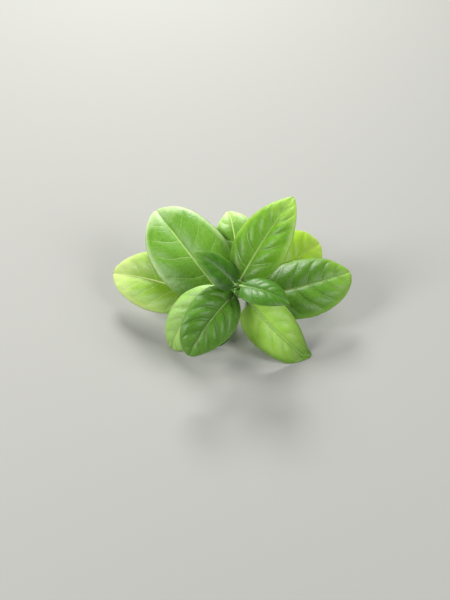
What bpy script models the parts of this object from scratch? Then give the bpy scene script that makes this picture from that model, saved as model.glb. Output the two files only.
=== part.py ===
"""Basil bunch: three cut shoots of sweet basil laid down together, their heads raised on their own leaves.

World coordinates in metres with +Z up and the table at z = 0. The heads face up and towards -Y, and the
cut stems trail back along the table towards +Y. Lengths below are in millimetres and angles in degrees.
"""

import math
from dataclasses import dataclass

import bmesh
import bpy
import numpy as np
from mathutils import Vector

MM = 0.001
COLLECTION_NAME = "basil_bunch"

# The middle of the bunch's footprint, which the origin is moved to.
FOOTPRINT_MIDDLE = (-4.3, 20.9)

BLADE_THICKNESS = 0.6
BLADE_COLUMNS = 8
VEIN_PAIRS = 6
VEIN_SWEEP = 0.2
END_ROW = 0.03
LEAST_HALF_WIDTH = 0.5
LATE_DROOP = 1.3
PUCKER_SHARPNESS = 0.7
MIDRIB_STEPS = 60

# A blade that would dip under the table lies flat on it, with a bend this high above and below its level.
TABLE_BEND = 2.0

RIB_REACH = 0.86
RIB_POINTS = 8
RIB_END_SHARE = 0.4
RIB_SUNK_SHARE = 0.33
PETIOLE_POINTS = 5
PETIOLE_RADIUS = 0.2
PETIOLE_RADIUS_PER_WIDTH = 0.02
STEM_GAP = 0.4
CORNER_REACH = 1.3
SLANT_ALLOWANCE = 0.8

STEM_STEPS_PER_SPAN = 5
STEM_CORNER = 0.45
NODE_SWELLING = 0.22
NODE_SWELLING_REACH = 2.2
BUD_THICKNESS = 0.5


@dataclass
class Leaf:
    """One leaf: where its blade starts, how it points and bends, its size and its cross-section."""

    stem: str
    node: int
    foot: tuple
    bearing: float
    rise: float
    droop: float
    sway: float
    roll: float
    length: float
    width: float
    fold: float = 12.0
    curl: float = 30.0
    base_fullness: float = 0.6
    tip_fullness: float = 0.65
    pucker: float = 0.8
    wave: float = 0.5


# Each stem runs from its top, through its leaf nodes, down to the table and along it to the cut.
STEM_ROUTES = {
    "main": [
        (0, 0.5, 40.2), (0, 2.8, 35.2), (-0.4, 5.6, 29.8), (-2, 8.8, 23.6), (-4, 13.5, 14.5),
        (-5, 19.5, 8), (-6, 29, 3.2), (-7, 42, 1.6), (-9, 60, 1.6), (-11, 78, 1.6),
    ],
    "left": [
        (-2, 8.8, 36.2), (-2.6, 9.6, 33.2), (-4.6, 12.8, 28.2), (-8, 18, 20),
        (-13, 27, 8.5), (-15.5, 37, 2.9), (-18, 51, 1.5), (-22, 70, 1.5),
    ],
    "rear": [
        (2.9, 16, 31.6), (2.5, 15.7, 28.2), (3, 19, 19), (4.5, 27, 8.5),
        (6, 37, 2.9), (7.5, 51, 1.5), (10, 67, 1.5),
    ],
}
STEM_HALF_WIDTHS = {"main": (0.7, 1.6), "left": (0.8, 1.5), "rear": (0.8, 1.5)}
FULL_WIDTH_AFTER = 30.0

# Route points that are leaf nodes, and lower ones whose leaves were picked.
LEAF_NODES = {"main": [0, 1, 2, 3, 4], "left": [1], "rear": [1]}
BARE_NODES = {"main": [6], "left": [4], "rear": [3]}

LEAVES = {
    "leaf_main_top_left": Leaf(
        "main", 0, (-2.4, -0.1, 42), 160, 46, 24, 5, 0, 29.3, 22, 16, 36, 0.38, 0.75, 0.4, 0.3),
    "leaf_main_top_right": Leaf(
        "main", 0, (1.6, -2.9, 43.4), -30, 17, 50, 11, 0, 29.6, 22, 18, 46, 0.42, 0.8, 0.6, 0.3),
    "leaf_main_second_back": Leaf(
        "main", 1, (0.7, 6.1, 38.8), 47, 45, 17, 0, 8, 55.2, 32.5, 22, 48, 0.5, 0.75, 1.1, 0.5),
    "leaf_main_second_front": Leaf(
        "main", 1, (-2.2, -1, 35.2), -117, 16, 75, -19, -36, 48.5, 29.5, 14, 42, 0.46, 0.58, 1.2, 0.4),
    "leaf_main_third_left": Leaf(
        "main", 2, (-11, 8, 29), 135, 26, 26, -17, -22, 65.5, 43.8, 20, 42, 0.36, 0.54, 0.4, 0.5),
    "leaf_main_third_right": Leaf(
        "main", 2, (6.2, -0.9, 28.2), -46, -29, 28, 50, 33, 52.7, 28.5, 14, 44, 0.34, 0.7, 0.5, 0.3),
    "leaf_main_fourth_left": Leaf(
        "main", 3, (-17.5, 10, 21.3), 157, 5, 23, -4, -33, 62.6, 37.2, 30, 50, 0.6, 0.65, 0.5, 0.5),
    "leaf_main_fourth_right": Leaf(
        "main", 3, (12.5, 9.7, 23.3), 1, 12, 17, 30, 25, 55, 37.5, 14, 48, 0.42, 0.54, 1.0, 0.5),
    "leaf_main_fifth_front": Leaf(
        "main", 4, (-9, 7, 17.5), -126, -20, 64, 6, -18, 30, 26, 12, 48, 0.6, 0.65, 0.6, 0.4),
    "leaf_left_front": Leaf(
        "left", 1, (-9.5, 4, 34.3), -149, -19, 70, -14, -26, 51.5, 26.5, 14, 46, 0.6, 0.62, 0.9, 0.4),
    "leaf_rear_right": Leaf(
        "rear", 1, (18.5, 21.7, 24.8), 38, 13, 28, 14, 42, 43, 34, 10, 31, 0.6, 0.6, 0.6, 0.4),
    "leaf_rear_back": Leaf(
        "rear", 1, (-0.5, 18, 30), 91, 39, 37, 13, -15, 43, 31, 18, 42, 0.42, 0.7, 0.8, 0.4),
}

# Tiny unopened leaves at the growing tips and in the leaf axils: stem, foot, bearing, rise, length, width.
BUDS = [
    ("main", (0, 0.5, 40), 75, 70, 3.2, 2.2),
    ("main", (0, 0.5, 39.9), -125, 66, 3, 2),
    ("main", (-0.2, 2.1, 36.8), -108, -8, 4.8, 2.8),
    ("main", (-0.1, 1.6, 37.8), 194, -4, 3.6, 4.2),
    ("main", (0.5, 2.3, 35.9), -15, 58, 6.0, 2.4),
    ("left", (-2, 8.6, 35), -20, 15, 4.2, 4.2),
    ("left", (-2, 8.8, 35.6), 80, 40, 3.2, 2.6),
    ("rear", (2.8, 15.9, 30.6), 5, 58, 6.2, 3.2),
    ("rear", (2.8, 15.9, 30.8), -150, 80, 5.4, 3.2),
]

STEM_GREEN = (0.30, 0.47, 0.11)
LEAF_GREENS = {
    "leaf_main_top_left": (0.045, 0.17, 0.02),
    "leaf_main_top_right": (0.06, 0.21, 0.025),
    "leaf_main_second_back": (0.10, 0.29, 0.03),
    "leaf_main_second_front": (0.06, 0.20, 0.03),
    "leaf_main_third_left": (0.13, 0.33, 0.04),
    "leaf_main_third_right": (0.15, 0.38, 0.04),
    "leaf_main_fourth_left": (0.24, 0.47, 0.06),
    "leaf_main_fourth_right": (0.09, 0.27, 0.03),
    "leaf_main_fifth_front": (0.07, 0.24, 0.02),
    "leaf_left_front": (0.20, 0.42, 0.10),
    "leaf_rear_right": (0.26, 0.49, 0.05),
    "leaf_rear_back": (0.19, 0.42, 0.06),
}


def clear_scene():
    for obj in list(bpy.data.objects):
        bpy.data.objects.remove(obj, do_unlink=True)


def make_collection(name):
    collection = bpy.data.collections.new(name)
    bpy.context.scene.collection.children.link(collection)
    return collection


def plant_material(name, colour, roughness):
    material = bpy.data.materials.new(name)
    material.use_nodes = True
    shader = material.node_tree.nodes["Principled BSDF"]
    shader.inputs["Base Color"].default_value = (*colour, 1.0)
    shader.inputs["Roughness"].default_value = roughness
    shader.inputs["Metallic"].default_value = 0.0
    material.diffuse_color = (*colour, 1.0)
    return material


def to_world(point):
    """A point in the bunch's own millimetres as world metres."""
    x, y, z = point
    return ((x - FOOTPRINT_MIDDLE[0]) * MM, (y - FOOTPRINT_MIDDLE[1]) * MM, z * MM)


def unit(bearing, rise):
    """The direction that points to a bearing in plan and rises above the horizon."""
    flat = np.cos(rise)
    return np.stack([flat * np.cos(bearing), flat * np.sin(bearing), np.sin(rise)], axis=-1)


def midrib(leaf):
    """The midrib's points and its tangent, side and normal directions, at even shares of the length."""
    share = np.linspace(0.0, 1.0, MIDRIB_STEPS)
    bearing = np.radians(leaf.bearing + leaf.sway * share)
    rise = np.radians(leaf.rise - leaf.droop * share**LATE_DROOP)
    tangent = unit(bearing, rise)
    level_side = np.stack([-np.sin(bearing), np.cos(bearing), np.zeros(MIDRIB_STEPS)], axis=-1)
    level_normal = np.cross(tangent, level_side)
    roll = math.radians(leaf.roll)
    side = level_side * math.cos(roll) + level_normal * math.sin(roll)
    normal = level_normal * math.cos(roll) - level_side * math.sin(roll)
    steps = 0.5 * (tangent[1:] + tangent[:-1]) * leaf.length / (MIDRIB_STEPS - 1)
    points = np.array(leaf.foot, dtype=float) + np.vstack([np.zeros(3), np.cumsum(steps, axis=0)])
    return share, points, tangent, side, normal


def along(share, wanted, values):
    return np.stack([np.interp(wanted, share, values[:, axis]) for axis in range(3)], axis=-1)


def half_width(leaf, share):
    """Half the blade's width along its length: an egg-shaped outline, widest below the middle."""
    p, r = leaf.base_fullness, leaf.tip_fullness
    peak = (p / (p + r)) ** p * (r / (p + r)) ** r
    share = np.clip(share, 0.0, 1.0)
    egg = 0.5 * leaf.width * share**p * (1.0 - share) ** r / peak
    return np.sqrt(egg**2 + LEAST_HALF_WIDTH**2)


def lie_on_table(height):
    """Heights with everything that would dip under the table laid flat on it, past a smooth bend."""
    level = BLADE_THICKNESS / 2
    above = height - level
    bent = level + (above + TABLE_BEND) ** 2 / (4 * TABLE_BEND)
    return np.where(above <= -TABLE_BEND, level, np.where(above < TABLE_BEND, bent, height))


def blade_points(leaf, row, column):
    """Points on the middle of the blade. row runs along a side vein's start, column from edge to edge."""
    share, points, _, side, normal = midrib(leaf)
    out = np.abs(column)
    place = row + VEIN_SWEEP * out**1.2 * 4 * row * (1 - row)
    half = half_width(leaf, place)
    fold = math.radians(leaf.fold)
    curl = math.radians(leaf.curl)
    across = half * (math.sin(fold) - np.sin(fold - curl * out)) / curl * np.sign(column)
    lift = half * (np.cos(fold - curl * out) - math.cos(fold)) / curl
    between_veins = np.abs(np.sin(math.pi * VEIN_PAIRS * row)) ** PUCKER_SHARPNESS
    halfway_out = np.clip(1 - (2 * out - 1) ** 2, 0, 1)
    lift = lift + leaf.pucker * between_veins * halfway_out * 2 * half / leaf.width
    lift = lift + leaf.wave * np.sin(3 * math.pi * row + leaf.bearing + column) * out**3
    surface = (
        along(share, place, points)
        + across[..., None] * along(share, place, side)
        + lift[..., None] * along(share, place, normal)
    )
    surface[..., 2] = lie_on_table(surface[..., 2])
    return surface


def blade_rows():
    """Rows on every side vein, halfway between them, and one close to each end."""
    inner = [step / (2 * VEIN_PAIRS) for step in range(1, 2 * VEIN_PAIRS)]
    return np.array([0.0, END_ROW, *inner, 1 - END_ROW, 1.0])


def sheet_mesh(name, surface):
    """A mesh grid bent onto rows and columns of points, each square cut into two triangles."""
    rows, columns = surface.shape[0], surface.shape[1]
    bm = bmesh.new()
    bmesh.ops.create_grid(bm, x_segments=columns - 1, y_segments=rows - 1, size=1.0)
    for vert in bm.verts:
        column = round((vert.co.x + 1) / 2 * (columns - 1))
        row = round((vert.co.y + 1) / 2 * (rows - 1))
        vert.co = to_world(surface[row, column])
    bmesh.ops.triangulate(bm, faces=bm.faces, quad_method="FIXED")
    bm.normal_update()
    mesh = bpy.data.meshes.new(name)
    bm.to_mesh(mesh)
    bm.free()
    return mesh


def add_thickness(obj, thickness):
    solidify = obj.modifiers.new("thickness", "SOLIDIFY")
    solidify.thickness = thickness * MM
    solidify.offset = 0.0


def tube(name, points, radii, sides, collection):
    """A round tube through the points as a closed mesh object."""
    curve = bpy.data.curves.new(name, "CURVE")
    curve.dimensions = "3D"
    curve.bevel_depth = MM
    curve.bevel_resolution = (sides - 4) // 2
    curve.use_fill_caps = True
    spline = curve.splines.new("POLY")
    spline.points.add(len(points) - 1)
    for target, point, radius in zip(spline.points, points, radii):
        target.co = (*to_world(point), 1.0)
        target.radius = radius
    return curve_to_mesh_object(name, curve, collection)


def curve_to_mesh_object(name, curve, collection):
    """The curve's evaluated tube as a mesh object with its caps welded on."""
    holder = bpy.data.objects.new(name + "_curve", curve)
    collection.objects.link(holder)
    bpy.context.view_layer.update()
    evaluated = holder.evaluated_get(bpy.context.evaluated_depsgraph_get())
    mesh = bpy.data.meshes.new_from_object(evaluated)
    bpy.data.objects.remove(holder, do_unlink=True)
    bm = bmesh.new()
    bm.from_mesh(mesh)
    bmesh.ops.remove_doubles(bm, verts=bm.verts, dist=0.00001)
    bmesh.ops.recalc_face_normals(bm, faces=bm.faces)
    bm.to_mesh(mesh)
    bm.free()
    mesh.name = name
    obj = bpy.data.objects.new(name, mesh)
    collection.objects.link(obj)
    return obj


def unite(obj, others, solver):
    """Joins the others into obj as one body and removes them."""
    for other in others:
        union = obj.modifiers.new("joined", "BOOLEAN")
        union.operation = "UNION"
        union.solver = solver
        union.object = other
    bpy.context.view_layer.update()
    evaluated = obj.evaluated_get(bpy.context.evaluated_depsgraph_get())
    mesh = bpy.data.meshes.new_from_object(evaluated)
    obj.modifiers.clear()
    obj.data = mesh
    for other in others:
        bpy.data.objects.remove(other, do_unlink=True)


def smooth_route(points, steps):
    """Points along a smooth line through the given ones, by the Catmull-Rom rule."""
    knots = [np.array(point, dtype=float) for point in points]
    knots = [2 * knots[0] - knots[1], *knots, 2 * knots[-1] - knots[-2]]
    line = []
    for before, start, end, after in zip(knots, knots[1:], knots[2:], knots[3:]):
        for step in range(steps):
            t = step / steps
            line.append(
                0.5 * (2 * start + (end - before) * t + (2 * before - 5 * start + 4 * end - after) * t**2
                       + (3 * start - before - 3 * end + after) * t**3)
            )
    line.append(knots[-2])
    return np.array(line)


def stem_half_width(stem, line):
    """The stem's half width along its line: thin at the tip, full lower down, swollen at its nodes."""
    top, full = STEM_HALF_WIDTHS[stem]
    steps = np.linalg.norm(np.diff(line, axis=0), axis=1)
    distance = np.concatenate([[0.0], np.cumsum(steps)])
    widths = top + (full - top) * np.clip(distance / FULL_WIDTH_AFTER, 0.0, 1.0)
    for node in LEAF_NODES[stem] + BARE_NODES[stem]:
        centre = np.array(STEM_ROUTES[stem][node], dtype=float)
        away = np.linalg.norm(line - centre, axis=1)
        lying = centre[2] <= full
        swelling = 0.0 if lying else NODE_SWELLING
        widths = widths * (1 + swelling * np.exp(-(away / NODE_SWELLING_REACH) ** 2))
    return widths


def square_profile(collection):
    """The four-sided cross-section of a basil stem, with rounded corners and 1 mm half width."""
    curve = bpy.data.curves.new("stem_section", "CURVE")
    curve.dimensions = "2D"
    spline = curve.splines.new("POLY")
    inner = 1 - STEM_CORNER
    corners = [
        (1, inner), (inner, 1), (-inner, 1), (-1, inner),
        (-1, -inner), (-inner, -1), (inner, -1), (1, -inner),
    ]
    spline.points.add(len(corners) - 1)
    for point, (x, y) in zip(spline.points, corners):
        point.co = (x * MM, y * MM, 0.0, 1.0)
    spline.use_cyclic_u = True
    guide = bpy.data.objects.new("stem_section_guide", curve)
    guide.hide_render = True
    guide.display_type = "WIRE"
    collection.objects.link(guide)
    return guide


def stem_body(stem, profile, collection):
    line = smooth_route(STEM_ROUTES[stem], STEM_STEPS_PER_SPAN)
    widths = stem_half_width(stem, line)
    line[:, 2] = np.maximum(line[:, 2], widths)
    curve = bpy.data.curves.new("stem_" + stem, "CURVE")
    curve.dimensions = "3D"
    curve.twist_mode = "Z_UP"
    curve.bevel_mode = "OBJECT"
    curve.bevel_object = profile
    curve.use_fill_caps = True
    spline = curve.splines.new("POLY")
    spline.points.add(len(line) - 1)
    for target, point, width in zip(spline.points, line, widths):
        target.co = (*to_world(point), 1.0)
        target.radius = width
    return curve_to_mesh_object("stem_" + stem, curve, collection)


def bud_leaf(index, foot, bearing, rise, length, width, collection):
    """One tiny unopened leaf, thick and cupped round the growing tip."""
    leaf = Leaf("", 0, foot, bearing, rise, -20.0, 0.0, 0.0, length, width, 30.0, 1.0, 0.5, 0.7, 0.0, 0.0)
    rows = np.linspace(0.0, 1.0, 6)[:, None]
    columns = np.linspace(-1.0, 1.0, 5)[None, :]
    mesh = sheet_mesh("bud", blade_points(leaf, rows + 0 * columns, columns + 0 * rows))
    obj = bpy.data.objects.new("bud_" + str(index), mesh)
    collection.objects.link(obj)
    add_thickness(obj, BUD_THICKNESS)
    return obj


def make_stem(stem, profile, collection):
    obj = stem_body(stem, profile, collection)
    buds = []
    for index, (owner, foot, bearing, rise, length, width) in enumerate(BUDS):
        if owner == stem:
            buds.append(bud_leaf(index, foot, bearing, rise, length, width, collection))
    unite(obj, buds, "EXACT")
    obj.data.materials.clear()
    obj.data.materials.append(plant_material("stem_" + stem, STEM_GREEN, 0.5))
    return obj


def petiole_points(leaf):
    """Points of the leaf stalk, from just clear of the stem to the foot of the blade."""
    node = np.array(STEM_ROUTES[leaf.stem][leaf.node], dtype=float)
    line = smooth_route(STEM_ROUTES[leaf.stem], STEM_STEPS_PER_SPAN)
    widths = stem_half_width(leaf.stem, line)
    nearest = np.argmin(np.linalg.norm(line - node, axis=1))
    foot = np.array(leaf.foot, dtype=float)
    away = foot - node
    away = away / np.linalg.norm(away)
    radius = petiole_radius(leaf)
    start = node + away * (widths[nearest] * CORNER_REACH + STEM_GAP + SLANT_ALLOWANCE * radius)
    reach = np.linalg.norm(foot - start) / 3
    _, _, tangent, _, _ = midrib(leaf)
    first, second = start + away * reach, foot - tangent[0] * reach
    points = []
    for step in range(PETIOLE_POINTS):
        t = step / PETIOLE_POINTS
        near_start = (1 - t) ** 3 * start + 3 * (1 - t) ** 2 * t * first
        near_foot = 3 * (1 - t) * t**2 * second + t**3 * foot
        points.append(near_start + near_foot)
    return np.array(points), radius


def petiole_radius(leaf):
    return PETIOLE_RADIUS + PETIOLE_RADIUS_PER_WIDTH * leaf.width


def make_rib(name, leaf, collection):
    """The leaf stalk and the midrib it runs on into, a tapering tube half sunk in the blade's underside."""
    stalk, radius = petiole_points(leaf)
    places = np.linspace(0.0, RIB_REACH, RIB_POINTS)
    share, _, _, _, normal = midrib(leaf)
    middle = blade_points(leaf, places, np.zeros(RIB_POINTS))
    rib_radii = radius * (1 + (RIB_END_SHARE - 1) * places / RIB_REACH)
    sunk = middle - along(share, places, normal) * (RIB_SUNK_SHARE * rib_radii)[:, None]
    sunk[:, 2] = np.maximum(sunk[:, 2], rib_radii)
    points = np.vstack([stalk, sunk])
    radii = np.concatenate([np.full(len(stalk), radius), rib_radii])
    return tube(name, points, radii, 6, collection)


def make_leaf(name, leaf, collection):
    rows = blade_rows()[:, None]
    columns = np.linspace(-1.0, 1.0, BLADE_COLUMNS + 1)[None, :]
    mesh = sheet_mesh(name, blade_points(leaf, rows + 0 * columns, columns + 0 * rows))
    obj = bpy.data.objects.new(name, mesh)
    collection.objects.link(obj)
    add_thickness(obj, BLADE_THICKNESS)
    unite(obj, [make_rib(name + "_rib", leaf, collection)], "MANIFOLD")
    obj.data.materials.clear()
    obj.data.materials.append(plant_material(name, LEAF_GREENS[name], 0.42))
    return obj


clear_scene()
bunch = make_collection(COLLECTION_NAME)
guides = make_collection("guides")
section = square_profile(guides)
for stem_name in STEM_ROUTES:
    make_stem(stem_name, section, bunch)
for leaf_name, leaf_shape in LEAVES.items():
    make_leaf(leaf_name, leaf_shape, bunch)
bpy.data.objects.remove(section, do_unlink=True)
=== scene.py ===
"""Basil bunch: three cut shoots of sweet basil laid down together, seen from above their heads."""

import math

import bpy
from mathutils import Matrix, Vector


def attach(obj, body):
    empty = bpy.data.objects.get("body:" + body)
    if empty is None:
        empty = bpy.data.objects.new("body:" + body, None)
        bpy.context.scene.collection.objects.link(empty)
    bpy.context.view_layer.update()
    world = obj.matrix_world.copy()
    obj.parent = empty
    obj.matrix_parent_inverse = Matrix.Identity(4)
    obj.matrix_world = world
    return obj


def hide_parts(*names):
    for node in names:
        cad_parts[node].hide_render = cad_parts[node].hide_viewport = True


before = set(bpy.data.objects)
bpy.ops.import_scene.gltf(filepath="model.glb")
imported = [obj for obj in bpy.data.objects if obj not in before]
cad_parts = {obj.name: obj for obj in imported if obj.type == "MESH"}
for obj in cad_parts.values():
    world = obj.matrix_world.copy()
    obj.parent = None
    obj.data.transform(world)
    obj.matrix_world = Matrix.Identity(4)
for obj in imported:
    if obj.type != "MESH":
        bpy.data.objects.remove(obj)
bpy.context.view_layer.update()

# The youngest pair of leaves
#
# Two small dark leaves at the top of the main shoot. A basil leaf is one thin, tender sheet: a stalk that
# runs on as the midrib, side veins that leave it in pairs and bend forward, and soft tissue that swells up
# between them. The sheet folds up along the midrib, curls down at its margins and droops as it grows.


class Field:
    """A value inside a node tree. Arithmetic on it adds the node that does the sum."""

    def __init__(self, socket):
        self.socket = socket
        self.tree = socket.id_data

    def __add__(self, other):
        return combine("ADD", self, other)

    def __radd__(self, other):
        return combine("ADD", other, self)

    def __sub__(self, other):
        return combine("SUBTRACT", self, other)

    def __rsub__(self, other):
        return combine("SUBTRACT", other, self)

    def __mul__(self, other):
        return combine("MULTIPLY", self, other)

    def __rmul__(self, other):
        return combine("MULTIPLY", other, self)

    def __truediv__(self, other):
        return combine("DIVIDE", self, other)

    def __rtruediv__(self, other):
        return combine("DIVIDE", other, self)

    def __pow__(self, other):
        return combine("POWER", self, other)

    def __neg__(self):
        return combine("MULTIPLY", self, -1.0)

    def __abs__(self):
        return combine("ABSOLUTE", self)


def plug(value, socket):
    """Puts a field or a plain value into a socket."""
    if isinstance(value, Field):
        value.tree.links.new(value.socket, socket)
    elif socket.type == "VECTOR" and isinstance(value, (int, float)):
        socket.default_value = (value, value, value)
    else:
        socket.default_value = value


def combine(operation, *values):
    """One sum over fields and plain values, on vectors where any of them is one."""
    fields = [value for value in values if isinstance(value, Field)]
    tree = fields[0].tree
    vectors = any(field.socket.type == "VECTOR" for field in fields)
    vectors = vectors or any(isinstance(value, tuple) for value in values)
    node = tree.nodes.new("ShaderNodeVectorMath" if vectors else "ShaderNodeMath")
    node.operation = operation
    for value, socket in zip(values, node.inputs):
        plug(value, socket)
    return Field(node.outputs["Value" if operation in ("LENGTH", "DOT_PRODUCT") else 0])


def live(sockets, name):
    """The socket of that name which the node's settings leave in use."""
    return next(socket for socket in sockets if socket.name == name and socket.enabled)


def step(tree, kind, output, inputs, **settings):
    """Adds one node with its settings and inputs, and gives one of its outputs."""
    node = tree.nodes.new(kind)
    for name, value in settings.items():
        setattr(node, name, value)
    for name, value in inputs.items():
        plug(value, live(node.inputs, name))
    return Field(live(node.outputs, output))


def clip(value, low, high):
    return combine("MINIMUM", combine("MAXIMUM", value, low), high)


def sine(angle):
    return combine("SINE", angle)


def cosine(angle):
    return combine("COSINE", angle)


def xyz(tree, x, y, z):
    return step(tree, "ShaderNodeCombineXYZ", "Vector", {"X": x, "Y": y, "Z": z})


def parts(vector):
    node = vector.tree.nodes.new("ShaderNodeSeparateXYZ")
    vector.tree.links.new(vector.socket, node.inputs[0])
    return Field(node.outputs["X"]), Field(node.outputs["Y"]), Field(node.outputs["Z"])


def noise(tree, place, size, detail=2.0):
    """Smooth random values round zero, about -0.5 to 0.5, with lumps of about the given size."""
    texture = step(
        tree, "ShaderNodeTexNoise", "Fac", {"Vector": place, "Scale": 1.0 / size, "Detail": detail}
    )
    return texture - 0.5


def new_tree(name, inputs):
    """A geometry node tree with named inputs. Gives the tree and its inputs as fields."""
    tree = bpy.data.node_groups.new(name, "GeometryNodeTree")
    for label, kind in inputs.items():
        tree.interface.new_socket(label, in_out="INPUT", socket_type="NodeSocket" + kind)
    tree.interface.new_socket("Geometry", in_out="OUTPUT", socket_type="NodeSocketGeometry")
    entry = tree.nodes.new("NodeGroupInput")
    return tree, {label: Field(entry.outputs[label]) for label in inputs}


def close_tree(geometry):
    """Ends a geometry tree: everything real, nothing left as an instance."""
    tree = geometry.tree
    real = step(tree, "GeometryNodeRealizeInstances", "Geometry", {"Geometry": geometry})
    tree.links.new(real.socket, tree.nodes.new("NodeGroupOutput").inputs[0])


def grow(name, tree, values, data=None):
    """Runs a geometry tree with its inputs set and gives the result as a plain mesh object."""
    seedling = bpy.data.objects.new(name + "_seedling", data or bpy.data.meshes.new(name))
    bpy.context.scene.collection.objects.link(seedling)
    modifier = seedling.modifiers.new("growth", "NODES")
    modifier.node_group = tree
    for item in tree.interface.items_tree:
        if item.in_out == "INPUT" and item.name in values:
            modifier[item.identifier] = values[item.name]
    bpy.context.view_layer.update()
    evaluated = seedling.evaluated_get(bpy.context.evaluated_depsgraph_get())
    mesh = bpy.data.meshes.new_from_object(evaluated)
    bpy.data.objects.remove(seedling, do_unlink=True)
    mesh.name = name
    piece = bpy.data.objects.new(name, mesh)
    bpy.context.scene.collection.objects.link(piece)
    return piece


def store(geometry, label, value, data_type="FLOAT", domain="POINT"):
    return step(
        geometry.tree, "GeometryNodeStoreNamedAttribute", "Geometry",
        {"Geometry": geometry, "Name": label, "Value": value}, data_type=data_type, domain=domain,
    )


def mesh_grid(tree, columns, rows):
    """A flat grid round the origin, 2 wide and 1 long."""
    return step(
        tree, "GeometryNodeMeshGrid", "Mesh",
        {"Size X": 2.0, "Size Y": 1.0, "Vertices X": columns, "Vertices Y": rows},
    )


def move(geometry, position):
    return step(
        geometry.tree, "GeometryNodeSetPosition", "Geometry", {"Geometry": geometry, "Position": position}
    )


def cover(geometry, material, **more):
    return step(
        geometry.tree, "GeometryNodeSetMaterial", "Geometry",
        {"Geometry": geometry, "Material": material, **more},
    )


def join(tree, geometries):
    node = tree.nodes.new("GeometryNodeJoinGeometry")
    for geometry in reversed(geometries):
        tree.links.new(geometry.socket, node.inputs[0])
    return Field(node.outputs[0])


# Sizes are in millimetres and angles in degrees, as the leaf is measured.
LEAF_SIZES = {
    "Foot": "Vector", "Bearing": "Float", "Rise": "Float", "Droop": "Float", "Sway": "Float",
    "Roll": "Float", "Length": "Float", "Width": "Float", "Fold": "Float", "Curl": "Float",
    "Base Fullness": "Float", "Tip Fullness": "Float", "Pucker": "Float", "Wave": "Float",
    "Vein Pairs": "Float", "Groove": "Float", "Seed": "Float", "Stem Point": "Vector",
    "Stalk Radius": "Float", "Thickness": "Float", "Rows": "Int", "Columns": "Int",
    "Blade": "Material", "Rib": "Material",
}
MM = 0.001
FOOTPRINT_MIDDLE = (-4.3, 20.9)
TABLE_LEVEL = 0.3
TABLE_BEND = 2.0
MIDRIB_STEPS = 120
STALK_STEPS = 24
RIB_STEPS = 60
RIB_SIDES = 10
RIB_REACH = 0.97
RIB_TAPER = 0.8
STALK_FLARE = 0.35
VEIN_SWEEP = 0.2
VEIN_FURROW = 0.05
VEIN_RIDGE = 0.12
LEAST_HALF_WIDTH = 0.5
MARGIN_UNEVENNESS = 0.05
SAME_POINT = 0.004


def to_metres(geometry):
    """Takes the bunch's millimetres to metres, over the middle of its footprint."""
    shift = (-FOOTPRINT_MIDDLE[0] * MM, -FOOTPRINT_MIDDLE[1] * MM, 0.0)
    return step(
        geometry.tree, "GeometryNodeTransform", "Geometry",
        {"Geometry": geometry, "Translation": shift, "Scale": (MM, MM, MM)},
    )


def leaf_direction(tree, size, share):
    """The midrib's tangent, side and normal directions at a share of its length."""
    bearing = (size["Bearing"] + size["Sway"] * share) * math.radians(1)
    rise = (size["Rise"] - size["Droop"] * share**1.3) * math.radians(1)
    roll = size["Roll"] * math.radians(1)
    tangent = xyz(tree, cosine(rise) * cosine(bearing), cosine(rise) * sine(bearing), sine(rise))
    level_side = xyz(tree, -sine(bearing), cosine(bearing), 0.0)
    level_normal = combine("CROSS_PRODUCT", tangent, level_side)
    side = level_side * cosine(roll) + level_normal * sine(roll)
    normal = level_normal * cosine(roll) - level_side * sine(roll)
    return tangent, side, normal


def lie_on_table(tree, point):
    """The point, raised where it would dip under the table, past a smooth bend."""
    x, y, z = parts(point)
    above = z - TABLE_LEVEL
    bend = clip(above, -TABLE_BEND, TABLE_BEND) + TABLE_BEND
    free = combine("MAXIMUM", above - TABLE_BEND, 0.0)
    return xyz(tree, x, y, TABLE_LEVEL + bend * bend / (4 * TABLE_BEND) + free)


def leaf_half_width(size, share):
    """Half the blade's width at a share of its length: egg-shaped, widest below the middle."""
    p, r = size["Base Fullness"], size["Tip Fullness"]
    peak = (p / (p + r)) ** p * (r / (p + r)) ** r
    inside = clip(share, 0.0, 1.0)
    egg = 0.5 * size["Width"] * inside**p * (1.0 - inside) ** r / peak
    least = LEAST_HALF_WIDTH * clip(share * (1.0 - share) * 60.0, 0.0, 1.0)
    return combine("SQRT", egg * egg + least * least)


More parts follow.
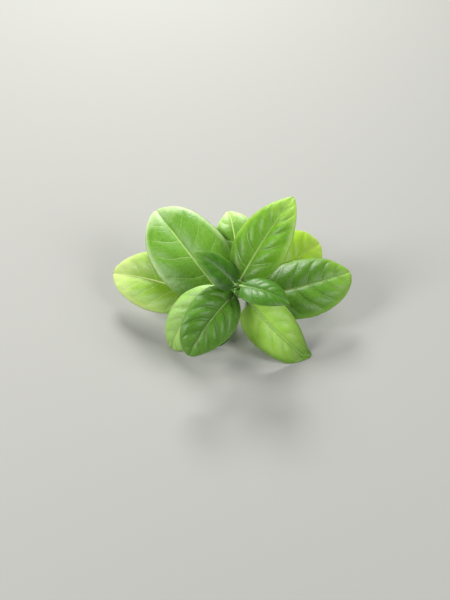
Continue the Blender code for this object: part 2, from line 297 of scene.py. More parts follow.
def leaf_tree():
    tree, size = new_tree("basil_leaf", LEAF_SIZES)

    # The midrib's line: every step goes on in the direction that the leaf has there.
    index = step(tree, "GeometryNodeInputIndex", "Index", {})
    tangent, _, _ = leaf_direction(tree, size, (index + 0.5) / (MIDRIB_STEPS - 1))
    stride = tangent * size["Length"] / (MIDRIB_STEPS - 1)
    walked = step(
        tree, "GeometryNodeAccumulateField", "Trailing", {"Value": stride}, data_type="FLOAT_VECTOR"
    )
    dots = step(tree, "GeometryNodeMeshLine", "Mesh", {"Count": MIDRIB_STEPS})
    line = step(tree, "GeometryNodeMeshToCurve", "Curve", {"Mesh": dots})
    line = move(line, size["Foot"] + walked)

    def on_midrib(share):
        return step(
            tree, "GeometryNodeSampleCurve", "Position", {"Curves": line, "Factor": share},
            mode="FACTOR", use_all_curves=True,
        )

    # The blade. Its rows follow the side veins, and its columns run from margin to margin.
    column, row, _ = parts(step(tree, "GeometryNodeInputPosition", "Position", {}))
    row = row + 0.5
    out = abs(column)
    half_side = combine("SIGN", column)
    place = row + VEIN_SWEEP * 4.0 * out**1.2 * row * (1.0 - row)
    half = leaf_half_width(size, place)
    lumps = xyz(tree, column * half, place * size["Length"], size["Seed"])
    half = half * (1.0 + MARGIN_UNEVENNESS * noise(tree, lumps, 7.0))
    fold = size["Fold"] * math.radians(1)
    curl = size["Curl"] * math.radians(1)
    across = half * (sine(fold) - sine(fold - curl * out)) / curl * half_side
    lift = half * (cosine(fold - curl * out) - cosine(fold)) / curl
    vein = (row - 0.07 * out * out) * size["Vein Pairs"] + 0.12 * half_side + 0.3 * noise(tree, lumps, 14.0)
    swelling = abs(sine(math.pi * vein)) ** 0.7
    halfway_out = clip(1.0 - (2.0 * out - 1.0) * (2.0 * out - 1.0), 0.0, 1.0)
    lift = lift + size["Pucker"] * swelling * halfway_out * 2.0 * half / size["Width"]
    lift = lift + size["Wave"] * sine(3 * math.pi * row + size["Bearing"] + column) * out * out * out
    lift = lift + 0.8 * size["Pucker"] * noise(tree, lumps, 6.0) * out
    groove = combine("EXPONENT", -(column * half) * (column * half) / 0.5)
    lift = lift - size["Groove"] * groove
    _, side, normal = leaf_direction(tree, size, place)
    middle = lie_on_table(tree, on_midrib(place) + across * side + lift * normal)
    ends = clip(row * (1.0 - row) * 40.0, 0.0, 1.0)
    rim = combine("SQRT", clip(1.0 - out**8, 0.0, 1.0))
    half_thick = 0.5 * size["Thickness"] * rim * ends
    vein_gap = abs(combine("FRACT", vein + 0.5) - 0.5) * size["Length"] / size["Vein Pairs"]
    vein_ridge = combine("EXPONENT", -(vein_gap * vein_gap) / 0.08) * rim * (1.0 - out)
    blade_uv = xyz(tree, column * 0.5 + 0.5, row, 0.0)

    sheets = []
    for under in (0.0, 1.0):
        sheet = mesh_grid(tree, size["Columns"], size["Rows"])
        spot = xyz(tree, column * half, place * size["Length"], under)
        sheet = store(sheet, "leaf_mm", spot, "FLOAT_VECTOR")
        sheet = store(sheet, "vein", vein)
        sheet = store(sheet, "margin", (1.0 - out) * half)
        sheet = store(sheet, "UVMap", blade_uv, "FLOAT2", "CORNER")
        upper = half_thick - VEIN_FURROW * vein_ridge
        lower = -half_thick - VEIN_RIDGE * vein_ridge
        sheet = move(sheet, middle + (lower if under else upper) * normal)
        if under:
            sheet = step(tree, "GeometryNodeFlipFaces", "Mesh", {"Mesh": sheet})
        sheets.append(sheet)
    blade = join(tree, sheets)
    blade = step(
        tree, "GeometryNodeMergeByDistance", "Geometry", {"Geometry": blade, "Distance": SAME_POINT}
    )
    blade = cover(blade, size["Blade"])

    # The stalk leaves the stem, bends to the blade's foot and runs on beneath the blade as its midrib.
    first_tangent, _, _ = leaf_direction(tree, size, index * 0.0)
    leap = size["Foot"] - size["Stem Point"]
    reach = combine("LENGTH", leap) / 3.0
    ahead = size["Stem Point"] + combine("NORMALIZE", leap) * reach
    behind = size["Foot"] - first_tangent * reach
    t = clip(index / STALK_STEPS, 0.0, 1.0)
    rest = 1.0 - t
    stalk = (
        rest * rest * rest * size["Stem Point"] + 3.0 * rest * rest * t * ahead
        + 3.0 * rest * t * t * behind + t * t * t * size["Foot"]
    )
    share = clip((index - STALK_STEPS) / RIB_STEPS, 0.0, 1.0)
    rib_radius = size["Stalk Radius"] * (1.0 - RIB_TAPER * share)
    _, _, rib_normal = leaf_direction(tree, size, share)
    settled = clip(share * 12.0, 0.0, 1.0)
    sunk = settled * (0.22 + 0.55 * rib_radius) + (1.0 - settled) * 0.25
    rib_x, rib_y, rib_z = parts(lie_on_table(tree, on_midrib(share * RIB_REACH)) - sunk * rib_normal)
    rib = xyz(tree, rib_x, rib_y, combine("MAXIMUM", rib_z, rib_radius + 0.02))
    on_blade = clip(index - STALK_STEPS + 1.0, 0.0, 1.0)
    spine = step(tree, "GeometryNodeMeshLine", "Mesh", {"Count": STALK_STEPS + RIB_STEPS + 1})
    spine = step(tree, "GeometryNodeMeshToCurve", "Curve", {"Mesh": spine})
    spine = move(spine, stalk * (1.0 - on_blade) + rib * on_blade)
    ring = step(tree, "GeometryNodeCurvePrimitiveCircle", "Curve", {"Resolution": RIB_SIDES, "Radius": 1.0})
    thick = rib_radius * (1.0 + STALK_FLARE * (1.0 - clip(index / 5.0, 0.0, 1.0)))
    tube = step(
        tree, "GeometryNodeCurveToMesh", "Mesh",
        {"Curve": spine, "Profile Curve": ring, "Scale": thick, "Fill Caps": True},
    )
    leaf = join(tree, [blade, cover(tube, size["Rib"])])
    leaf = step(tree, "GeometryNodeSetShadeSmooth", "Geometry", {"Geometry": leaf, "Shade Smooth": True})
    close_tree(to_metres(leaf))
    return tree


def tint(red, green, blue):
    """A colour by its everyday 0 to 255 values, as the light-linear values that a shader takes."""
    return tuple(
        ((v / 255 + 0.055) / 1.055) ** 2.4 if v > 10 else v / 3295 for v in (red, green, blue)
    ) + (1.0,)


def shader_group(name, inputs, outputs):
    """A shader node group with named sockets. Gives the group, its inputs as fields and its output node."""
    tree = bpy.data.node_groups.new(name, "ShaderNodeTree")
    for label, kind in inputs.items():
        tree.interface.new_socket(label, in_out="INPUT", socket_type="NodeSocket" + kind)
    for label, kind in outputs.items():
        tree.interface.new_socket(label, in_out="OUTPUT", socket_type="NodeSocket" + kind)
    entry = tree.nodes.new("NodeGroupInput")
    return tree, {label: Field(entry.outputs[label]) for label in inputs}, tree.nodes.new("NodeGroupOutput")


def blend(tree, amount, first, second):
    """A mix of two colours."""
    node = tree.nodes.new("ShaderNodeMix")
    node.data_type = "RGBA"
    plug(amount, node.inputs[0])
    plug(first, node.inputs[6])
    plug(second, node.inputs[7])
    return Field(node.outputs[2])


def ramp(value, start, end):
    """0 before start, 1 past end, and a soft step between them."""
    return step(
        value.tree, "ShaderNodeMapRange", "Result",
        {"Value": value, "From Min": start, "From Max": end, "To Min": 0.0, "To Max": 1.0},
        interpolation_type="SMOOTHSTEP",
    )


SKIN_OUTPUTS = {"Colour": "Color", "Roughness": "Float", "Height": "Float"}
# The base, valley, tip and edge inputs set where light and shade are painted into the colour.
TISSUE_INPUTS = {
    "Green": "Color", "Light Green": "Color", "Vein Green": "Color", "Tip Light And Shade": "Color",
    "Rib Width": "Float", "Rib Strength": "Float", "Rib End": "Float", "Vein Spacing": "Float",
    "Vein Strength": "Float", "Leaf Length": "Float", "Tip Light Start": "Float", "Shade Green": "Color",
    "Edge Sheen Reach": "Float", "Base Shade": "Float", "Valley Shade": "Float",
}
PALE_BACK = tint(140, 180, 96)


def hand_over(give, colour, roughness, height):
    """Ends a skin's node group with what it gives to the shader."""
    for label, field in zip(SKIN_OUTPUTS, (colour, roughness, height)):
        field.tree.links.new(field.socket, give.inputs[label])


def tissue_group():
    """Living leaf tissue: green lobes, pale veins, a fine net, thin pale margins, a paler back, and painted
    light and shade.
    """
    tree, take, give = shader_group("leaf_tissue", TISSUE_INPUTS, SKIN_OUTPUTS)
    place = step(tree, "ShaderNodeAttribute", "Vector", {}, attribute_name="leaf_mm")
    across, along, under = parts(place)
    vein = step(tree, "ShaderNodeAttribute", "Fac", {}, attribute_name="vein")
    margin = step(tree, "ShaderNodeAttribute", "Fac", {}, attribute_name="margin")
    share = along / take["Leaf Length"]
    rib_half = take["Rib Width"] * (1.0 - 0.7 * share) + 0.08
    rib = (1.0 - ramp(abs(across) / rib_half, 0.5, 1.5)) * (1.0 - ramp(share / take["Rib End"], 0.82, 1.0))
    wander = noise(tree, place, 3.0)
    gap = abs(combine("FRACT", vein + 0.5) - 0.5) * take["Vein Spacing"] + 0.25 * wander
    reach = ramp(margin, 1.0, 9.0) * ramp(share, 0.0, 0.08)
    side_vein = (1.0 - ramp(abs(gap), 0.08, 0.42)) * reach
    # The valleys beside the side veins, which get painted shade.
    valley_shade_mask = (1.0 - ramp(abs(gap), 0.3, 2.2)) * reach
    net_cells = step(
        tree, "ShaderNodeTexVoronoi", "Distance", {"Vector": place + 0.6 * wander, "Scale": 0.42},
        feature="DISTANCE_TO_EDGE",
    )
    net = 1.0 - ramp(net_cells, 0.02, 0.12)
    fine_cells = step(
        tree, "ShaderNodeTexVoronoi", "Distance", {"Vector": place, "Scale": 1.5},
        feature="DISTANCE_TO_EDGE",
    )
    fine = 1.0 - ramp(fine_cells, 0.02, 0.2)
    cloud = noise(tree, place, 11.0, 3.0)
    grain = noise(tree, place, 0.5, 2.0)

    patches = clip(0.45 + 1.6 * cloud + 0.5 * grain, 0.0, 1.0)
    colour = blend(tree, patches, take["Green"], take["Light Green"])
    # Painted light and shade: toward the tip the colour goes over to the tip colour, a paler painted sheen
    # on most leaves and a darker painted shade on a few.
    colour = blend(tree, ramp(share + 0.25 * cloud, take["Tip Light Start"], 1.05), colour, take["Tip Light And Shade"])
    # Painted sheen: the margins go toward the tip colour too.
    edge_sheen = 1.0 - ramp(margin / take["Edge Sheen Reach"], 0.0, 1.0)
    colour = blend(tree, 0.6 * edge_sheen * ramp(share, 0.1, 0.5), colour, take["Tip Light And Shade"])
    # Painted shade: near the foot of the blade the colour goes over to a darker copy of the green, for the
    # shade where the leaves crowd round the stem.
    colour = blend(tree, take["Base Shade"] * (1.0 - ramp(share, 0.0, 0.5)), colour, take["Shade Green"])
    # Painted shade: the valleys beside the side veins go toward the darker green.
    colour = blend(tree, take["Valley Shade"] * valley_shade_mask, colour, take["Shade Green"])
    lines = clip(0.05 * fine + 0.08 * net, 0.0, 1.0)
    colour = blend(tree, lines, colour, take["Vein Green"])
    colour = blend(tree, side_vein * take["Vein Strength"], colour, take["Vein Green"])
    colour = blend(tree, rib * take["Rib Strength"], colour, take["Vein Green"])
    rim = 1.0 - ramp(margin, 0.1, 0.5)
    colour = blend(tree, 0.4 * rim, colour, take["Vein Green"])
    colour = blend(tree, 0.5 * under, colour, PALE_BACK)
    height = -0.3 * side_vein - 0.1 * net - 0.03 * fine + 0.04 * grain
    height = height * (1.0 - 2.0 * under)
    roughness = 0.43 + 0.08 * cloud + 0.1 * grain + 0.22 * under + 0.1 * rib
    hand_over(give, colour, roughness, height)
    return tree


def use_group(material, group, values):
    node = material.node_tree.nodes.new("ShaderNodeGroup")
    node.node_tree = group
    for label, value in values.items():
        node.inputs[label].default_value = value
    return node


def principled(material, **values):
    shader = material.node_tree.nodes["Principled BSDF"]
    for label, value in values.items():
        shader.inputs[label.replace("_", " ")].default_value = value
    return shader


def feed(material, source, shader, bump_strength, bump_distance):
    """Takes a group's colour, roughness and height to the shader."""
    links = material.node_tree.links
    bump = material.node_tree.nodes.new("ShaderNodeBump")
    bump.inputs["Strength"].default_value = bump_strength
    bump.inputs["Distance"].default_value = bump_distance
    links.new(source.outputs["Colour"], shader.inputs["Base Color"])
    links.new(source.outputs["Roughness"], shader.inputs["Roughness"])
    links.new(source.outputs["Height"], bump.inputs["Height"])
    links.new(bump.outputs["Normal"], shader.inputs["Normal"])


def blade_material(name, leaf, greens):
    material = bpy.data.materials.new(name)
    material.use_nodes = True
    green, light, vein, tip = greens
    # A darker copy of the green, used for painted shade.
    shade_green = tuple(0.62 * channel for channel in green[:3]) + (1.0,)
    source = use_group(material, TISSUE, {
        "Green": green, "Light Green": light, "Vein Green": vein, "Tip Light And Shade": tip, "Shade Green": shade_green,
        "Leaf Length": leaf["Length"], "Vein Spacing": leaf["Length"] / leaf["Vein Pairs"],
        "Rib Width": 0.25 + 0.01 * leaf["Width"], "Rib End": leaf.get("rib_end", 1.1),
        "Rib Strength": leaf.get("rib_strength", 0.7), "Vein Strength": leaf.get("vein_strength", 0.3),
        "Valley Shade": leaf.get("valley_depth", 0.1), "Base Shade": leaf.get("base_depth", 0.75),
        "Tip Light Start": leaf.get("tip_start", 0.6), "Edge Sheen Reach": leaf.get("edge_reach", 4.0),
    })
    shader = principled(
        material, Subsurface_Weight=0.3, Subsurface_Radius=(0.5, 1.0, 0.15), Subsurface_Scale=0.0006,
        Specular_IOR_Level=0.5,
    )
    feed(material, source, shader, 0.5, 0.0006)
    return material


def stalk_group():
    """Tender green stalk skin: pale, with fine lengthwise streaks."""
    tree, take, give = shader_group(
        "stalk_skin", {"Green": "Color", "Pale Green": "Color"}, SKIN_OUTPUTS
    )
    place = step(tree, "ShaderNodeTexCoord", "Object", {})
    streak = noise(tree, place * 1000.0, 1.1, 3.0)
    speck = noise(tree, place * 1000.0, 0.22, 1.0)
    streaks = clip(0.5 + 1.4 * streak + 0.5 * speck, 0.0, 1.0)
    colour = blend(tree, streaks, take["Green"], take["Pale Green"])
    hand_over(give, colour, 0.42 + 0.15 * speck, streak + 0.4 * speck)
    return tree


def stalk_material(name, green, pale):
    material = bpy.data.materials.new(name)
    material.use_nodes = True
    source = use_group(material, STALK, {"Green": green, "Pale Green": pale})
    shader = principled(
        material, Subsurface_Weight=0.35, Subsurface_Radius=(0.6, 1.0, 0.3), Subsurface_Scale=0.0008,
        Specular_IOR_Level=0.45,
    )
    feed(material, source, shader, 0.25, 0.0002)
    return material


LEAF_TREE = leaf_tree()
TISSUE = tissue_group()
STALK = stalk_group()
RIB_SKIN = stalk_material("leaf_rib_skin", tint(140, 185, 95), tint(190, 220, 150))


def measured(
    foot, bearing, rise, droop, sway, roll, length, width, fold, curl, base, tip, pucker, wave,
    vein_pairs=6.0, groove=0.25, **more
):
    """A leaf's sizes by name."""
    return {
        "Foot": foot, "Bearing": float(bearing), "Rise": float(rise), "Droop": float(droop),
        "Sway": float(sway), "Roll": float(roll), "Length": float(length), "Width": float(width),
        "Fold": float(fold), "Curl": float(curl), "Base Fullness": float(base),
        "Tip Fullness": float(tip), "Pucker": float(pucker), "Wave": float(wave),
        "Vein Pairs": vein_pairs, "Groove": groove, "Stalk Radius": 0.2 + 0.02 * width,
        "Thickness": 0.44, "Rows": 132, "Columns": 73, "Rib": RIB_SKIN, **more,
    }


def leaf_piece(node, stem_point, seed, greens, leaf):
    """One leaf in the place of its CAD node."""
    name = "basil_" + node
    values = {**leaf, "Stem Point": stem_point, "Seed": float(seed) * 37.0}
    values["Blade"] = blade_material(name + "_tissue", leaf, greens)
    piece = grow(name, LEAF_TREE, values)
    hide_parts(node)
    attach(piece, "root")
    return piece


# Its dark greens and strong darkening at the foot are partly painted shade from the leaves round it.
leaf_piece(
    "leaf_main_top_left", (0, 0.5, 40.2), 1,
    (tint(48, 104, 6), tint(70, 124, 16), tint(120, 168, 70), tint(104, 154, 44)),
    measured((-2.4, -0.1, 42), 160, 46, 24, 5, 0, 29.3, 22, 16, 36, 0.38, 0.75, 0.4, 0.3,
        vein_pairs=5.0, rib_strength=0.4, vein_strength=0.2, base_depth=0.95),
)
leaf_piece(
    "leaf_main_top_right", (0, 0.5, 40.2), 2,
    (tint(62, 120, 4), tint(74, 132, 10), tint(130, 180, 70), tint(70, 122, 14)),
    measured((1.6, -2.9, 43.4), -30, 17, 50, 11, 0, 29.6, 22, 18, 46, 0.42, 0.8, 0.35, 0.3,
        rib_strength=0.35, vein_strength=0.2, valley_depth=0.4, base_depth=0.3),
)

# The second pair of leaves
#
# Half-grown leaves a quarter round from the first pair, one up and back, the other down over the front.
# Their tissue still swells strongly between the veins, which gives them their quilted look.

# The strong darkening toward its foot is painted shade.
leaf_piece(
    "leaf_main_second_back", (0, 2.8, 35.2), 3,
    (tint(90, 152, 6), tint(124, 184, 26), tint(188, 226, 110), tint(176, 218, 88)),
    measured((0.7, 6.1, 38.8), 47, 45, 17, 0, 8, 55.2, 32.5, 22, 48, 0.5, 0.75, 1.1, 0.5,
        rib_strength=0.65, vein_strength=0.25, valley_depth=0.35, base_depth=1.0),
)
leaf_piece(
    "leaf_main_second_front", (0, 2.8, 35.2), 4,
    (tint(66, 122, 8), tint(94, 150, 28), tint(154, 198, 92), tint(98, 146, 50)),
    measured((-2.2, -1, 35.2), -117, 16, 75, -19, -36, 48.5, 29.5, 14, 42, 0.46, 0.58, 1.2, 0.4,
        rib_strength=0.3, vein_strength=0.2, valley_depth=0.5, base_depth=0.5, groove=0.4),
)

# The third pair of leaves
#
# The largest leaf of the bunch, broad and smooth, stands up at the left. Its partner hangs to the right
# and rests with its tip on the table.

# Its near-white tip colour is a painted sheen.
leaf_piece(
    "leaf_main_third_left", (-0.4, 5.6, 29.8), 5,
    (tint(88, 150, 6), tint(108, 166, 20), tint(196, 230, 124), tint(220, 244, 184)),
    measured((-11, 8, 29), 135, 26, 26, -17, -22, 65.5, 43.8, 20, 42, 0.36, 0.54, 0.4, 0.5,
        vein_pairs=5.0, rib_strength=0.75, rib_end=0.84, vein_strength=0.3, valley_depth=0.06,
        tip_start=0.75),
)
# Its bright greens are partly painted highlight, and its dark tip colour is painted shade.
leaf_piece(
    "leaf_main_third_right", (-0.4, 5.6, 29.8), 6,
    (tint(144, 204, 36), tint(200, 238, 122), tint(194, 230, 108), tint(74, 124, 18)),
    measured((6.2, -0.9, 28.2), -46, -29, 28, 50, 33, 52.7, 28.5, 14, 44, 0.34, 0.7, 0.5, 0.3,
        rib_strength=0.25, vein_strength=0.2, valley_depth=0.2, base_depth=0.15, tip_start=0.36,
        groove=0.7),
)

# The fourth pair of leaves
#
# Full-grown leaves that spread far to both sides. The left one is thin and lets the light through.

# Its pale greens partly paint the light that comes through it, and its pale tip and wide pale margins are
# painted sheen.
leaf_piece(
    "leaf_main_fourth_left", (-2, 8.8, 23.6), 7,
    (tint(122, 174, 18), tint(150, 198, 38), tint(230, 248, 164), tint(218, 240, 150)),
    measured((-17.5, 10, 21.3), 157, 5, 23, -4, -33, 62.6, 37.2, 30, 50, 0.6, 0.65, 0.5, 0.5,
        rib_strength=0.9, vein_strength=0.3, valley_depth=0.04, tip_start=0.5, edge_reach=6.0),
)
leaf_piece(
    "leaf_main_fourth_right", (-2, 8.8, 23.6), 8,
    (tint(72, 130, 4), tint(98, 156, 16), tint(172, 212, 100), tint(142, 188, 70)),
    measured((12.5, 9.7, 23.3), 1, 12, 17, 30, 25, 55, 37.5, 14, 48, 0.42, 0.54, 0.8, 0.5,
        rib_strength=0.7, vein_strength=0.25, valley_depth=0.35),
)

# The lowest leaf of the main shoot
#
# A small leaf under the front ones, bent down to the table.

# Its very dark greens are painted shade, for the shadow under the front leaves.
leaf_piece(
    "leaf_main_fifth_front", (-4, 13.5, 14.5), 9,
    (tint(36, 92, 4), tint(52, 112, 8), tint(110, 160, 50), tint(44, 100, 8)),
    measured((-9, 7, 17.5), -126, -20, 64, 6, -18, 30, 26, 12, 48, 0.6, 0.65, 0.6, 0.4, rib_strength=0.4),
)

# The second shoot's leaf
#
# A pale young leaf that hangs at the front left. The leaf across from it was picked.

# Its very pale greens are partly painted light.
leaf_piece(
    "leaf_left_front", (-2.6, 9.6, 33.2), 10,
    (tint(150, 204, 84), tint(200, 238, 150), tint(216, 242, 156), tint(158, 204, 96)),
    measured((-9.5, 4, 34.3), -149, -19, 70, -14, -26, 51.5, 26.5, 14, 46, 0.6, 0.62, 0.9, 0.4,
        rib_strength=0.5, vein_strength=0.25, valley_depth=0.3, base_depth=0.1),
)

# The third shoot's pair of leaves
#
# One young leaf with clear pale veins stands up behind the heads. The other reaches out flat behind the
# right side and lets the light through.

# Its pale yellow greens partly paint the light that comes through it.
leaf_piece(
    "leaf_rear_right", (2.5, 15.7, 28.2), 11,
    (tint(146, 198, 24), tint(172, 218, 50), tint(212, 240, 110), tint(190, 228, 88)),
    measured((18.5, 21.7, 24.8), 38, 13, 28, 14, 42, 43, 34, 10, 31, 0.6, 0.6, 0.6, 0.4, rib_strength=0.6),
)
# Its pale tip colour is a painted sheen.
leaf_piece(
    "leaf_rear_back", (2.5, 15.7, 28.2), 12,
    (tint(88, 150, 6), tint(122, 184, 28), tint(216, 244, 146), tint(206, 244, 150)),
    measured((-0.5, 18, 30), 91, 39, 37, 13, -15, 43, 31, 18, 42, 0.42, 0.7, 0.8, 0.4,
        vein_pairs=4.0, rib_strength=0.8, vein_strength=0.6),
)

# The stems
#
# A basil stem is square, juicy and pale green, with a shallow furrow down each side, a swollen ring at
# every node and short soft hairs. The lower leaves were picked, and the stems were cut straight across.

STEM_ROUTES = {
    "main": [
        (0, 0.5, 40.2), (0, 2.8, 35.2), (-0.4, 5.6, 29.8), (-2, 8.8, 23.6), (-4, 13.5, 14.5),
        (-5, 19.5, 8), (-6, 29, 3.2), (-7, 42, 1.6), (-9, 60, 1.6), (-11, 78, 1.6),
    ],
    "left": [
        (-2, 8.8, 36.2), (-2.6, 9.6, 33.2), (-4.6, 12.8, 28.2), (-8, 18, 20),
        (-13, 27, 8.5), (-15.5, 37, 2.9), (-18, 51, 1.5), (-22, 70, 1.5),
    ],
    "rear": [
        (2.9, 16, 31.6), (2.5, 15.7, 28.2), (3, 19, 19), (4.5, 27, 8.5),
        (6, 37, 2.9), (7.5, 51, 1.5), (10, 67, 1.5),
    ],
}
STEM_HALF_WIDTHS = {"main": (0.7, 1.6), "left": (0.8, 1.5), "rear": (0.8, 1.5)}
STEM_NODES = {"main": [0, 1, 2, 3, 4, 6], "left": [1, 4], "rear": [1, 3]}
ROUTE_STEPS = 14
FULL_WIDTH_AT = 30.0
RING_STEPS = 64
HAIR_CLEARANCE = 0.8


def smooth_route(points, steps):
    """Points along a smooth line through the given ones, by the Catmull-Rom rule."""
    knots = [Vector(point) for point in points]
    knots = [2 * knots[0] - knots[1], *knots, 2 * knots[-1] - knots[-2]]
    line = []
    for before, start, end, after in zip(knots, knots[1:], knots[2:], knots[3:]):
        for number in range(steps):
            t = number / steps
            line.append(
                0.5 * (2 * start + (end - before) * t + (2 * before - 5 * start + 4 * end - after) * t**2
                       + (3 * start - before - 3 * end + after) * t**3)
            )
    return line + [knots[-2]]


def stem_widths(stem, line):
    """Half widths along the line: thin at the tip, full lower down, swollen at the nodes."""
    top, full = STEM_HALF_WIDTHS[stem]
    widths, distance, last = [], 0.0, line[0]
    for point in line:
        distance += (point - last).length
        last = point
        width = top + (full - top) * min(distance / FULL_WIDTH_AT, 1.0)
        for node in STEM_NODES[stem]:
            away = (point - Vector(STEM_ROUTES[stem][node])).length
            width *= 1 + 0.22 * math.exp(-((away / 2.2) ** 2)) + 0.06 * math.exp(-((away / 0.7) ** 2))
        widths.append(width)
    return widths


def stem_line(stem):
    """The stem's middle line as a curve, in the bunch's millimetres, with the half width as its radius."""
    line = smooth_route(STEM_ROUTES[stem], ROUTE_STEPS)
    widths = stem_widths(stem, line)
    curve = bpy.data.curves.new("stem_line_" + stem, "CURVE")
    curve.dimensions = "3D"
    spline = curve.splines.new("POLY")
    spline.points.add(len(line) - 1)
    for target, point, width in zip(spline.points, line, widths):
        target.co = (point.x, point.y, max(point.z, width), 1.0)
        target.radius = width
    return curve


def stem_tree():
    tree, size = new_tree("basil_stem", {
        "Line": "Geometry", "Corner": "Float", "Furrow": "Float", "Hair Density": "Float",
        "Hair Length": "Float", "Hair Radius": "Float", "Skin": "Material", "Cut": "Material",
        "Hair": "Material",
    })

    # The square section, with its corners rounded and its sides furrowed.
    index = step(tree, "GeometryNodeInputIndex", "Index", {})
    turn = index * (2 * math.pi / RING_STEPS)
    corner = size["Corner"]
    square = (abs(cosine(turn)) ** corner + abs(sine(turn)) ** corner) ** (-1.0 / corner)
    furrow = 1.0 - size["Furrow"] * combine("MAXIMUM", cosine(4.0 * turn), 0.0)
    ring = step(
        tree, "GeometryNodeCurvePrimitiveCircle", "Curve", {"Resolution": RING_STEPS, "Radius": 1.0}
    )
    ring = move(ring, xyz(tree, cosine(turn) * square * furrow, sine(turn) * square * furrow, 0.0))
    line = step(tree, "GeometryNodeSetCurveNormal", "Curve", {"Curve": size["Line"]}, mode="Z_UP")
    radius = step(tree, "GeometryNodeInputRadius", "Radius", {})
    stem = step(
        tree, "GeometryNodeCurveToMesh", "Mesh",
        {"Curve": line, "Profile Curve": ring, "Scale": radius, "Fill Caps": True},
    )
    stem = cover(stem, size["Skin"])
    face_corners = step(tree, "GeometryNodeInputMeshFaceNeighbors", "Vertex Count", {})
    is_cap = combine("GREATER_THAN", face_corners, 5.0)
    stem = cover(stem, size["Cut"], Selection=is_cap)
    stem = step(
        tree, "GeometryNodeSetShadeSmooth", "Geometry", {"Geometry": stem, "Shade Smooth": 1.0 - is_cap}
    )

    # The hairs stand out from the skin, but not where the stem lies on the table.
    scatter = tree.nodes.new("GeometryNodeDistributePointsOnFaces")
    plug(stem, scatter.inputs["Mesh"])
    plug(size["Hair Density"], live(scatter.inputs, "Density"))
    scatter.inputs["Seed"].default_value = 5
    hair = step(
        tree, "GeometryNodeMeshCone", "Mesh",
        {"Vertices": 3, "Radius Top": 0.0, "Radius Bottom": size["Hair Radius"],
         "Depth": size["Hair Length"]},
    )
    length = step(
        tree, "FunctionNodeRandomValue", "Value", {"Min": 0.5, "Max": 1.3, "Seed": 8}, data_type="FLOAT"
    )
    _, _, height = parts(step(tree, "GeometryNodeInputPosition", "Position", {}))
    above_table = combine("GREATER_THAN", height, HAIR_CLEARANCE)
    hairs = step(
        tree, "GeometryNodeInstanceOnPoints", "Instances",
        {"Points": Field(scatter.outputs["Points"]), "Rotation": Field(scatter.outputs["Rotation"]),
         "Instance": hair, "Selection": above_table, "Scale": xyz(tree, 1.0, 1.0, length)},
    )
    hairs = step(tree, "GeometryNodeRealizeInstances", "Geometry", {"Geometry": hairs})
    close_tree(to_metres(join(tree, [stem, cover(hairs, size["Hair"])])))
    return tree


STEM_TREE = stem_tree()
STEM_SKIN = stalk_material("stem_skin", tint(128, 170, 80), tint(176, 205, 125))
STEM_CUT = stalk_material("stem_cut", tint(176, 196, 130), tint(205, 218, 165))
STEM_HAIR = stalk_material("stem_hair", tint(200, 215, 170), tint(225, 235, 205))

for stem in STEM_ROUTES:
    piece = grow("basil_stem_" + stem, STEM_TREE, {
        "Corner": 3.4, "Furrow": 0.07, "Hair Density": 0.5, "Hair Length": 0.55, "Hair Radius": 0.025,
        "Skin": STEM_SKIN, "Cut": STEM_CUT, "Hair": STEM_HAIR,
    }, stem_line(stem))
    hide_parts("stem_" + stem)
    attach(piece, "root")

# The tiny leaves
#
# Unopened leaves, a few millimetres long, cupped round each growing tip and in the axils of the upper
# leaves. Some are pale and brightened with painted light, the others darkened with painted shade, as dark
# as the youngest pair.

# stem, foot, bearing, rise, length, width, shade
TINY_LEAVES = [
    ("main", (0, 0.5, 40), 75, 70, 3.2, 2.2, "dark_and_shaded"),
    ("main", (0, 0.5, 39.9), -125, 66, 3, 2, "dark_and_shaded"),
    ("main", (-0.2, 2.1, 36.8), -106, 10, 5.2, 3.6, "pale_and_lit"),
    ("main", (-0.1, 1.6, 37.8), 194, -12, 5.4, 4.4, "dark_and_shaded"),
    ("main", (0.5, 2.3, 35.9), -15, 58, 6.0, 2.4, "pale_and_lit"),
    ("left", (-2, 8.6, 35), -20, 15, 4.2, 4.2, "dark_and_shaded"),
    ("left", (-2, 8.8, 35.6), 80, 40, 3.2, 2.6, "dark_and_shaded"),
    ("rear", (2.8, 15.9, 30.6), 5, 58, 6.2, 3.2, "pale_and_lit"),
    ("rear", (2.8, 15.9, 30.8), -150, 80, 5.4, 3.2, "dark_and_shaded"),
]
# Pale greens with painted light for the buds that show, dark greens with painted shade for those under the
# top leaves.
TINY_GREENS = {
    "pale_and_lit": (tint(158, 232, 84), tint(182, 242, 120), tint(200, 248, 150), tint(150, 226, 76)),
    "dark_and_shaded": (tint(60, 116, 8), tint(78, 134, 16), tint(110, 160, 50), tint(66, 120, 10)),
}
ROOT_DEPTH = 0.8

for number, (stem, foot, bearing, rise, length, width, shade) in enumerate(TINY_LEAVES):
    tiny = measured(
        foot, bearing, rise, -20, 0, 0, length, width, 30, 40, 0.5, 0.7, 0.15, 0.05,
        vein_pairs=4.0, base_depth=0.0, Thickness=0.35, Rows=40, Columns=25,
    )
    tiny["Stalk Radius"] = 0.22
    name = "basil_tiny_leaf_%d" % (number + 1)
    level, turned = math.cos(math.radians(rise)), math.radians(bearing)
    root = Vector(foot) - ROOT_DEPTH * Vector((
        level * math.cos(turned), level * math.sin(turned), math.sin(math.radians(rise)),
    ))
    values = {**tiny, "Stem Point": tuple(root), "Seed": 900.0 + 31.0 * number}
    values["Blade"] = blade_material(name + "_tissue", tiny, TINY_GREENS[shade])
    piece = grow(name, LEAF_TREE, values)
    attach(piece, "root")

# The surface, the lights and the camera
#
# A plain pale surface under three soft studio lights: one from the left, a strong one from behind and a
# weak one from the right.

bpy.ops.mesh.primitive_plane_add(size=4.0)
surface = bpy.context.object
surface.name = "pale_surface"
paint = bpy.data.materials.new("pale_surface")
paint.use_nodes = True
principled(paint, Base_Color=tint(174, 174, 170), Roughness=0.8)
surface.data.materials.append(paint)


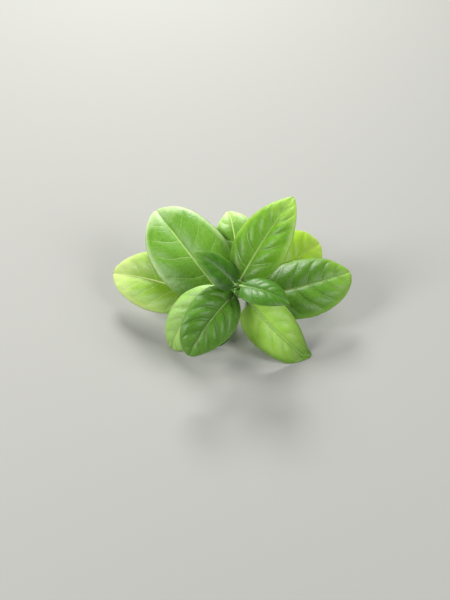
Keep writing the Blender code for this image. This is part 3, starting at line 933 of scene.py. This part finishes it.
def soft_light(name, place, target, size, watts, colour):
    data = bpy.data.lights.new(name, "AREA")
    data.shape = "DISK"
    data.size = size
    data.energy = watts
    data.color = colour
    light = bpy.data.objects.new(name, data)
    light.location = place
    light.rotation_euler = (Vector(target) - Vector(place)).to_track_quat("-Z", "Y").to_euler()
    bpy.context.scene.collection.objects.link(light)


soft_light("key", (-0.62, -0.24, 0.6), (0, 0, 0.03), 0.35, 4.9, (1.0, 1.0, 0.97))
soft_light("back", (-0.1, 0.68, 0.6), (0, 0, 0.03), 0.35, 8.4, (1.0, 1.0, 0.97))
soft_light("fill", (0.56, -0.36, 0.55), (0, 0, 0.03), 0.45, 3.6, (1.0, 1.0, 1.0))
world = bpy.data.worlds.new("studio")
world.use_nodes = True
world.node_tree.nodes["Background"].inputs["Color"].default_value = (0.92, 0.96, 1.0, 1.0)
world.node_tree.nodes["Background"].inputs["Strength"].default_value = 0.08
bpy.context.scene.world = world
bpy.context.scene.view_settings.view_transform = "Standard"

# The camera looks down on the bunch at 45 degrees. The photograph's height holds the sensor's long side.
CAMERA_DISTANCE = 0.6
PIXEL_SIZE = 0.00055
FRAME_PIXELS = 600
SENSOR_HEIGHT = 36.0
APEX_HEIGHT = 0.042
AIM_LEFT = 0.0077
AIM_DOWN = 0.0088
half_root = math.sqrt(0.5)
look = Vector((0.0, half_root, -half_root))
upward = Vector((0.0, half_root, half_root))
apex = Vector((-FOOTPRINT_MIDDLE[0] * MM, -FOOTPRINT_MIDDLE[1] * MM, APEX_HEIGHT))
target = apex - Vector((AIM_LEFT, 0.0, 0.0)) - AIM_DOWN * upward
camera_data = bpy.data.cameras.new("camera")
camera_data.sensor_fit = "VERTICAL"
camera_data.sensor_height = SENSOR_HEIGHT
camera_data.lens = CAMERA_DISTANCE / PIXEL_SIZE * SENSOR_HEIGHT / FRAME_PIXELS
camera_data.clip_start = 0.01
camera = bpy.data.objects.new("camera", camera_data)
camera.location = target - CAMERA_DISTANCE * look
camera.rotation_euler = look.to_track_quat("-Z", "Y").to_euler()
bpy.context.scene.collection.objects.link(camera)
bpy.context.scene.camera = camera

bpy.context.view_layer.update()
